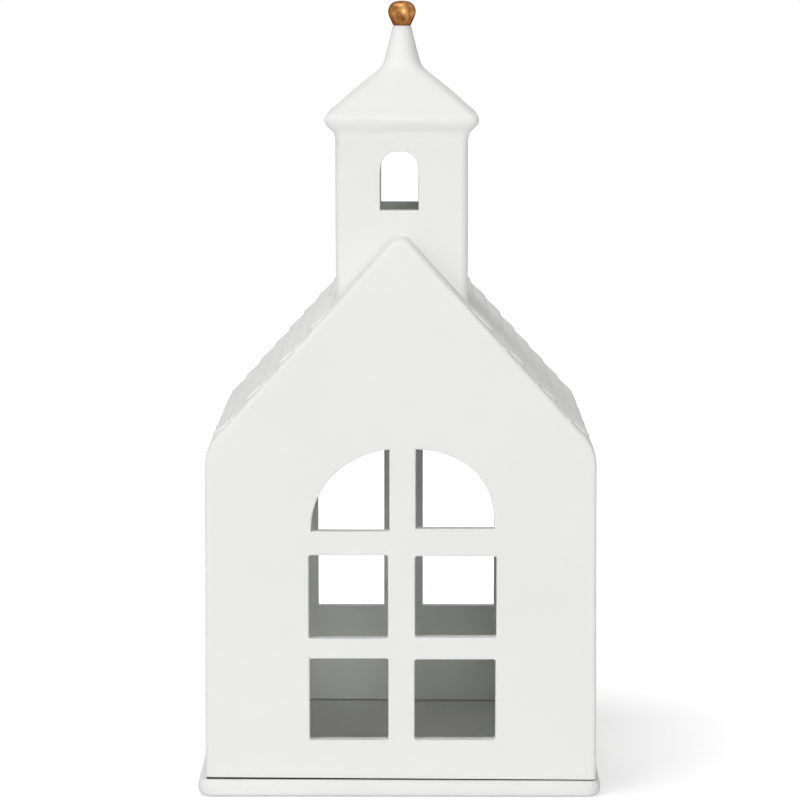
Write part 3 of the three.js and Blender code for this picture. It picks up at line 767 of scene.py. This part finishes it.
def spire():
    """Cornice and concave spire: a rounded square raised in rings and bridged to a round needle."""
    half, z = CORNICE[0]
    bpy.ops.mesh.primitive_plane_add(size=2 * half * MM,
                                     location=(TOWER_X * MM, TOWER_Y * MM, z * MM))
    cap = named("spire_body")
    edit(cap, "VERT")
    bpy.ops.mesh.select_all(action="SELECT")
    bpy.ops.mesh.bevel(offset=CAP_CORNER * MM, offset_type="OFFSET", segments=6, affect="VERTICES")
    bpy.ops.mesh.select_mode(type="EDGE")
    choose(cap, "edges", lambda e: e.calc_length() > 10 * MM)
    bpy.ops.mesh.subdivide(number_cuts=3)
    bpy.ops.mesh.select_mode(type="FACE")
    bpy.ops.mesh.select_all(action="SELECT")
    raise_rings(CORNICE)
    bpy.ops.mesh.delete(type="ONLY_FACE")
    done()

    radius, z = NEEDLE[0]
    needle = disc("needle", radius, z, 40)
    edit(needle, "FACE")
    bpy.ops.mesh.select_all(action="SELECT")
    raise_rings(NEEDLE)
    choose(needle, "faces", lambda f: near(middle(f).z, z, 0.01))
    bpy.ops.mesh.delete(type="ONLY_FACE")
    done()

    # Both are joined and bridged, and each ring of the bridge is drawn in to its own width
    only(cap)
    needle.select_set(True)
    bpy.ops.object.join()
    edit(cap, "EDGE")
    choose(cap, "edges", lambda e: e.is_boundary)
    bpy.ops.mesh.bridge_edge_loops(number_cuts=len(SPIRE_RINGS), interpolation="LINEAR")
    done()
    (low_half, low_z), (high_half, high_z) = CORNICE[-1], NEEDLE[0]
    for count, half in enumerate(SPIRE_RINGS, 1):
        share = count / (len(SPIRE_RINGS) + 1)
        ring_z = low_z + share * (high_z - low_z)
        now = low_half + share * (high_half - low_half)
        edit(cap, "VERT")
        choose(cap, "verts", lambda v: near(v.co.z / MM, ring_z, 0.1))
        bpy.ops.transform.resize(value=(half / now, half / now, 1),
                                 center_override=(TOWER_X * MM, TOWER_Y * MM, 0))
        done()
    tidy_mesh(cap, 0.005)
    refine(cap)

    # The hollow narrows upwards into the spire
    hollow = upright("cap_hollow", TOWER_HALF - TOWER_WALL - 0.05, CAP_HOLLOW_Z)
    edit(hollow, "FACE")
    choose(hollow, "faces", lambda f: middle(f).z > CAP_HOLLOW_Z[1] - 1)
    bpy.ops.mesh.extrude_region_move(TRANSFORM_OT_translate={"value": (0, 0, CAP_HOLLOW_RISE * MM)})
    bpy.ops.transform.resize(value=(0.2, 0.2, 1), center_override=(TOWER_X * MM, TOWER_Y * MM, 0))
    done()
    carve(cap, [hollow])
    smooth(cap, 55, weighted=False)
    return cap


# The ball on its peg, as (radius, z)
BALL = [
    (1.2, 236.75), (1.2, 241.6), (2.75, 241.66), (2.9, 241.78), (3.06, 242.2), (3.38, 242.9),
    (3.78, 243.65), (4.14, 244.4), (4.39, 245.2), (4.47, 246.0), (4.37, 246.85), (4.07, 247.65),
    (3.58, 248.3), (2.9, 248.85), (1.95, 249.22), (0.95, 249.38), (0, 249.41),
]


def ball():
    """The gilded bulb, a little heavier above the middle, raised from the foot of its peg."""
    radius, z = BALL[0]
    piece = disc("gilded_ball", radius, z, 32)
    edit(piece, "FACE")
    bpy.ops.mesh.select_all(action="SELECT")
    raise_rings(BALL)
    done()
    tidy_mesh(piece, 0.002)
    refine(piece)
    smooth(piece, 70, weighted=False)
    return piece


# Base plate

def on_plate_top(face):
    return face.normal.z > 0.99 and near(middle(face).z, PLATE_Z, 0.6)


def on_seat(face):
    """True for the faces of the plate's top that the walls stand on, which get painted shade."""
    x, y = abs(middle(face).x), abs(middle(face).y)
    inside = x < SEAT_X and y < SEAT_Y
    return on_plate_top(face) and inside and (x > SEAT_X - SEAT_WIDTH or y > SEAT_Y - SEAT_WIDTH)


def plate():
    """The base plate with rounded edges, the lamp's stepped hole and the four corner lugs."""
    slab = cube("plate", PLATE_X, PLATE_Y, (0, PLATE_Z))
    edit(slab, "VERT")
    for side in (-1, 1):
        choose(slab, "verts", lambda v: v.co.z > 4 * MM and side * v.co.x > 0)
        bpy.ops.transform.translate(value=(0, 0, -side * PLATE_HALF * PLATE_FALL * MM))
    done()

    def at_top(p):
        return near(p.z, PLATE_Z - PLATE_FALL * p.x, 0.05)

    bevel(slab, lambda e: abs(middle(e).x) > 60 and abs(middle(e).y) > 55, PLATE_CORNER, 8)
    bevel(slab, lambda e: both(e, lambda p: near(p.z, 0)), 2.3, 5)
    bevel(slab, lambda e: both(e, at_top), 1.9, 5)

    # Lines across the top mark both edges of the seat, where the painted shade goes
    edit(slab)
    for outwards, outer in ((Vector((1, 0, 0)), SEAT_X), (Vector((0, 1, 0)), SEAT_Y)):
        for reach in (outer, outer - SEAT_WIDTH, SEAT_WIDTH - outer, -outer):
            choose(slab, "faces", on_plate_top)
            bpy.ops.mesh.bisect(plane_co=outwards * reach * MM, plane_no=outwards)
    done()

    # Each cutter starts below the plate; the hole's ends above it
    for name, radius, top in (("hole", HOLE_RADIUS, 7), ("rebate", REBATE_RADIUS, REBATE_DEPTH)):
        bpy.ops.mesh.primitive_cylinder_add(vertices=96, radius=radius * MM, depth=(top + 2) * MM,
                                            location=(0, LAMP_Y * MM, (top - 2) / 2 * MM))
        carve(slab, [named(name)])

    def on_step(edge):
        away = (middle(edge) - Vector((0, LAMP_Y, 0))).xy.length
        return near(away, (HOLE_RADIUS + REBATE_RADIUS) / 2, 1.6) and is_sharp(edge)

    bevel(slab, on_step, 0.25, 2)
    lugs = []
    for sx in (-1, 1):
        for sy in (-1, 1):
            x, y = sx * LUG_X, sy * LUG_Y
            for across, deep in ((LUG_LENGTH, LUG_WIDTH), (LUG_WIDTH, LUG_LENGTH)):
                lugs.append(cube("lug", sorted((x, x - sx * across)), sorted((y, y - sy * deep)),
                                 (LUG_FOOT_Z, LUG_TOP_Z)))
    carve(slab, lugs, "UNION")
    bevel(slab, lambda e: both(e, lambda p: near(p.z, LUG_TOP_Z)) and is_sharp(e), 0.5, 2)
    smooth(slab)
    return slab


# The pieces, each with its finish and the body that it rides on

walls_finish = porcelain("porcelain_walls")
roof_finish = porcelain("porcelain_roof")
plate_finish = porcelain("porcelain_plate", (0.9, 0.9, 0.885))
# Painted shade: the inner faces of the walls and tower get a darker, greener copy of the porcelain
inside_painted_shade = porcelain("porcelain_inside_painted_shade", (0.83, 0.846, 0.805))
# Painted shade: near-black porcelain on the walls' foot and the plate's seat darkens the seam
# between them
seam_shade_finish = porcelain("painted_seam_shade", (0.06, 0.058, 0.052))


def inside_walls(face):
    p = middle(face)
    return (abs(p.x) < HALF_FOOT - WALL + 0.05 and abs(p.y) < HALF_DEPTH - WALL + 0.05 and
            face.normal.z < 0.95)


def under_walls(face):
    p = middle(face)
    return near(p.z, FOOT_Z - FOOT_FALL * p.x, 0.02) and face.normal.z < -0.9


def inside_tower(face):
    bore = TOWER_HALF - TOWER_WALL + 0.05
    return abs(middle(face).x - TOWER_X) < bore and abs(middle(face).y - TOWER_Y) < bore


walls = nave()
coat(walls, walls_finish)
# The inner faces of the walls take the painted shade
finish_part(walls, inside_painted_shade, inside_walls)
# The underside of the walls' foot is painted near-black as shade in the seam
finish_part(walls, seam_shade_finish, under_walls)
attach(walls, "chapel")
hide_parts("nave_shell")

for name, side, seed in (("shingles_right", 1, 3), ("shingles_left", -1, 8)):
    tiles = shingled_slope(name, side, seed)
    coat(tiles, roof_finish)
    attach(tiles, "chapel")

tower = bell_tower()
coat(tower, walls_finish)
# The tower's bore takes the painted shade
finish_part(tower, inside_painted_shade, inside_tower)
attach(tower, "chapel")
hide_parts("bell_tower")

cap = spire()
coat(cap, walls_finish)
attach(cap, "chapel")
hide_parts("spire_cap")

finial = ball()
coat(finial, gilding())
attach(finial, "chapel")
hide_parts("finial_ball")

base = plate()
coat(base, plate_finish)
# The seat under the walls is painted near-black as shade in the seam
finish_part(base, seam_shade_finish, on_seat)
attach(base, "base")
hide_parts("base_plate")

# The lamp unit keeps its CAD shapes and gets finishes only

lamp_finishes = [
    (moulded("moulded_case", (0.78, 0.77, 0.72)),
     ["lamp_case", "lamp_case_floor", "battery_cover"]),
    (moulded("moulded_slider", (0.72, 0.71, 0.66), 0.35), ["switch_knob"]),
    (moulded("dark_moulding", (0.03, 0.03, 0.034), 0.38), ["switch_case", "resistor"]),
    (plated("cell_steel", (0.7, 0.69, 0.67), 0.24), ["coin_cell"]),
    (plated("contact_strip", (0.72, 0.69, 0.62), 0.2, (1, 6, 1)),
     ["positive_contact", "negative_contact"]),
    (plated("lamp_leads", (0.7, 0.69, 0.66), 0.22, (4, 4, 1)), ["led_lead_plus", "led_lead_minus"]),
    (plated("screw_steel", (0.66, 0.64, 0.6), 0.26),
     ["case_screw_1", "case_screw_2", "case_screw_3"]),
    (laminate(), ["circuit_board"]),
    (resin(), ["led_lamp"]),
]
for material, cad_nodes in lamp_finishes:
    for node in cad_nodes:
        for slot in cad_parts[node].material_slots:
            slot.material = material


# Studio

def seen_straight(nodes, links):
    """1 for rays from the camera, gloss and glass, so that these see a white studio."""
    path = nodes.new("ShaderNodeLightPath")
    total = path.outputs["Is Camera Ray"]
    for kind in ("Is Glossy Ray", "Is Transmission Ray"):
        total = combine(nodes, links, "MAXIMUM", total, path.outputs[kind])
    return total


# The floor glows white, less so near the object, where its shadow has to show
bpy.ops.mesh.primitive_plane_add(size=60, location=(0, 0, 0))
floor = named("floor")
floor_material, nodes, links, surface, where = shader("studio_floor")
surface.inputs["Base Color"].default_value = (0.9, 0.9, 0.9, 1)
surface.inputs["Roughness"].default_value = 0.9
surface.inputs["Specular IOR Level"].default_value = 0.1
away = nodes.new("ShaderNodeVectorMath")
away.operation = "LENGTH"
links.new(where, away.inputs["Vector"])
brighter = between(nodes, links, away.outputs["Value"], 0.42, 1.0, (0.1, 0.5))
glow = combine(nodes, links, "MULTIPLY", seen_straight(nodes, links), brighter)
surface.inputs["Emission Color"].default_value = (1, 1, 1, 1)
links.new(glow, surface.inputs["Emission Strength"])
floor.data.materials.append(floor_material)

# The world is white where it is seen straight, and lights the object a fifth as strongly
world = bpy.data.worlds.new("studio")
bpy.context.scene.world = world
world.use_nodes = True
nodes, links = world.node_tree.nodes, world.node_tree.links
level = between(nodes, links, seen_straight(nodes, links), 0.2, 1.0)
links.new(level, nodes["Background"].inputs["Strength"])
nodes["Background"].inputs["Color"].default_value = (1, 1, 1, 1)


def softbox(name, place, aim, size, watts):
    """A square soft light at a place in metres, turned to its aim."""
    light = bpy.data.lights.new(name, "AREA")
    light.energy = watts
    light.size = size
    lamp = bpy.data.objects.new(name, light)
    bpy.context.scene.collection.objects.link(lamp)
    lamp.location = place
    lamp.rotation_euler = (Vector(aim) - Vector(place)).to_track_quat("-Z", "Y").to_euler()


softbox("key_left", (-1.1, -1.3, 0.75), (0, 0, 0.12), 0.9, 5.6)
softbox("front", (0.36, -1.95, 0.38), (0, 0, 0.12), 1.2, 17.6)
softbox("top", (-0.36, -0.2, 1.55), (0, 0, 0.1), 0.8, 8.8)
softbox("behind", (0.14, 1.7, 0.3), (0, 0, 0.1), 1.0, 8)

camera_data = bpy.data.cameras.new("camera")
camera_data.sensor_width = 36
camera_data.lens = 142.287
camera_data.clip_start = 0.05
camera_data.clip_end = 100
camera = bpy.data.objects.new("camera", camera_data)
bpy.context.scene.collection.objects.link(camera)
camera.location = (0.0035, -1.03212, 0.25615)
camera.rotation_euler = (math.radians(82.416), 0, 0.00384)
bpy.context.scene.camera = camera

bpy.context.scene.view_settings.view_transform = "Standard"
